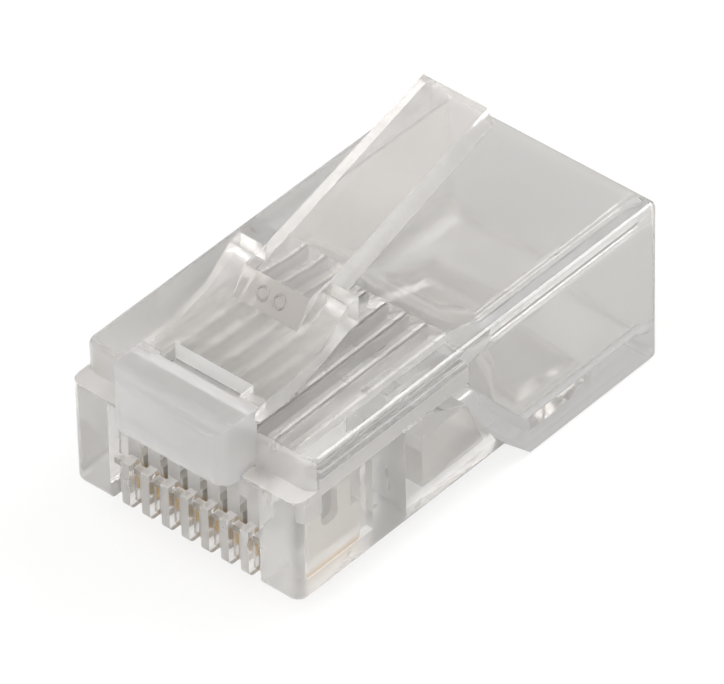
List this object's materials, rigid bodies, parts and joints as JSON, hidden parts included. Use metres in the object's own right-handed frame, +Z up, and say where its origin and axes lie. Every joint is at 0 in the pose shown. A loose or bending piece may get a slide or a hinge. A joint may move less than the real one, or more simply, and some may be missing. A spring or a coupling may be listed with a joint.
{
  "type": "modular plug",
  "caption": "Clear modular plug for data cable, with a spring latch, gold contact blades in a nose comb and an open cable cavity.",
  "frame": {"origin": "on the surface that the foot stands on, under the middle of the plug's length and width", "axes": "+X from the nose to the cable end, +Y to the side of contact 1, +Z up to the latch"},
  "size_m": [0.0224, 0.0116, 0.0137],
  "materials": {
    "clear_housing": "clear moulded polycarbonate",
    "gold_contact": "gold-plated stamped contact"
  },
  "bodies": {
    "housing": {"housing": "clear_housing"},
    "latch": {"latch": "clear_housing"},
    "conductor_clamp": {"conductor_clamp": "clear_housing"},
    "jacket_clamp": {"jacket_clamp": "clear_housing"},
    "contact_1": {"contact_1": "gold_contact"},
    "contact_2": {"contact_2": "gold_contact"},
    "contact_3": {"contact_3": "gold_contact"},
    "contact_4": {"contact_4": "gold_contact"},
    "contact_5": {"contact_5": "gold_contact"},
    "contact_6": {"contact_6": "gold_contact"},
    "contact_7": {"contact_7": "gold_contact"},
    "contact_8": {"contact_8": "gold_contact"}
  },
  "joints": [
    {"name": "latch_press", "type": "hinge", "parent": "housing", "child": "latch", "pos_m": [-0.00898, 0, 0.00885], "axis": [0, 1, 0], "range_deg": [0, 13], "stiffness_Nm_per_rad": 0.3},
    {"name": "conductor_crimp", "type": "hinge", "parent": "housing", "child": "conductor_clamp", "pos_m": [0.00002, 0, 0.004], "axis": [0, 1, 0], "range_deg": [0, 26]},
    {"name": "jacket_crimp", "type": "hinge", "parent": "housing", "child": "jacket_clamp", "pos_m": [0.00762, 0, 0.00075], "axis": [0, 1, 0], "range_deg": [0, 28]},
    {"name": "contact_1_crimp", "type": "slide", "parent": "housing", "child": "contact_1", "axis": [0, 0, 1], "range_m": [0, 0.00055]},
    {"name": "contact_2_crimp", "type": "slide", "parent": "housing", "child": "contact_2", "axis": [0, 0, 1], "range_m": [0, 0.00055]},
    {"name": "contact_3_crimp", "type": "slide", "parent": "housing", "child": "contact_3", "axis": [0, 0, 1], "range_m": [0, 0.00055]},
    {"name": "contact_4_crimp", "type": "slide", "parent": "housing", "child": "contact_4", "axis": [0, 0, 1], "range_m": [0, 0.00055]},
    {"name": "contact_5_crimp", "type": "slide", "parent": "housing", "child": "contact_5", "axis": [0, 0, 1], "range_m": [0, 0.00055]},
    {"name": "contact_6_crimp", "type": "slide", "parent": "housing", "child": "contact_6", "axis": [0, 0, 1], "range_m": [0, 0.00055]},
    {"name": "contact_7_crimp", "type": "slide", "parent": "housing", "child": "contact_7", "axis": [0, 0, 1], "range_m": [0, 0.00055]},
    {"name": "contact_8_crimp", "type": "slide", "parent": "housing", "child": "contact_8", "axis": [0, 0, 1], "range_m": [0, 0.00055]}
  ]
}
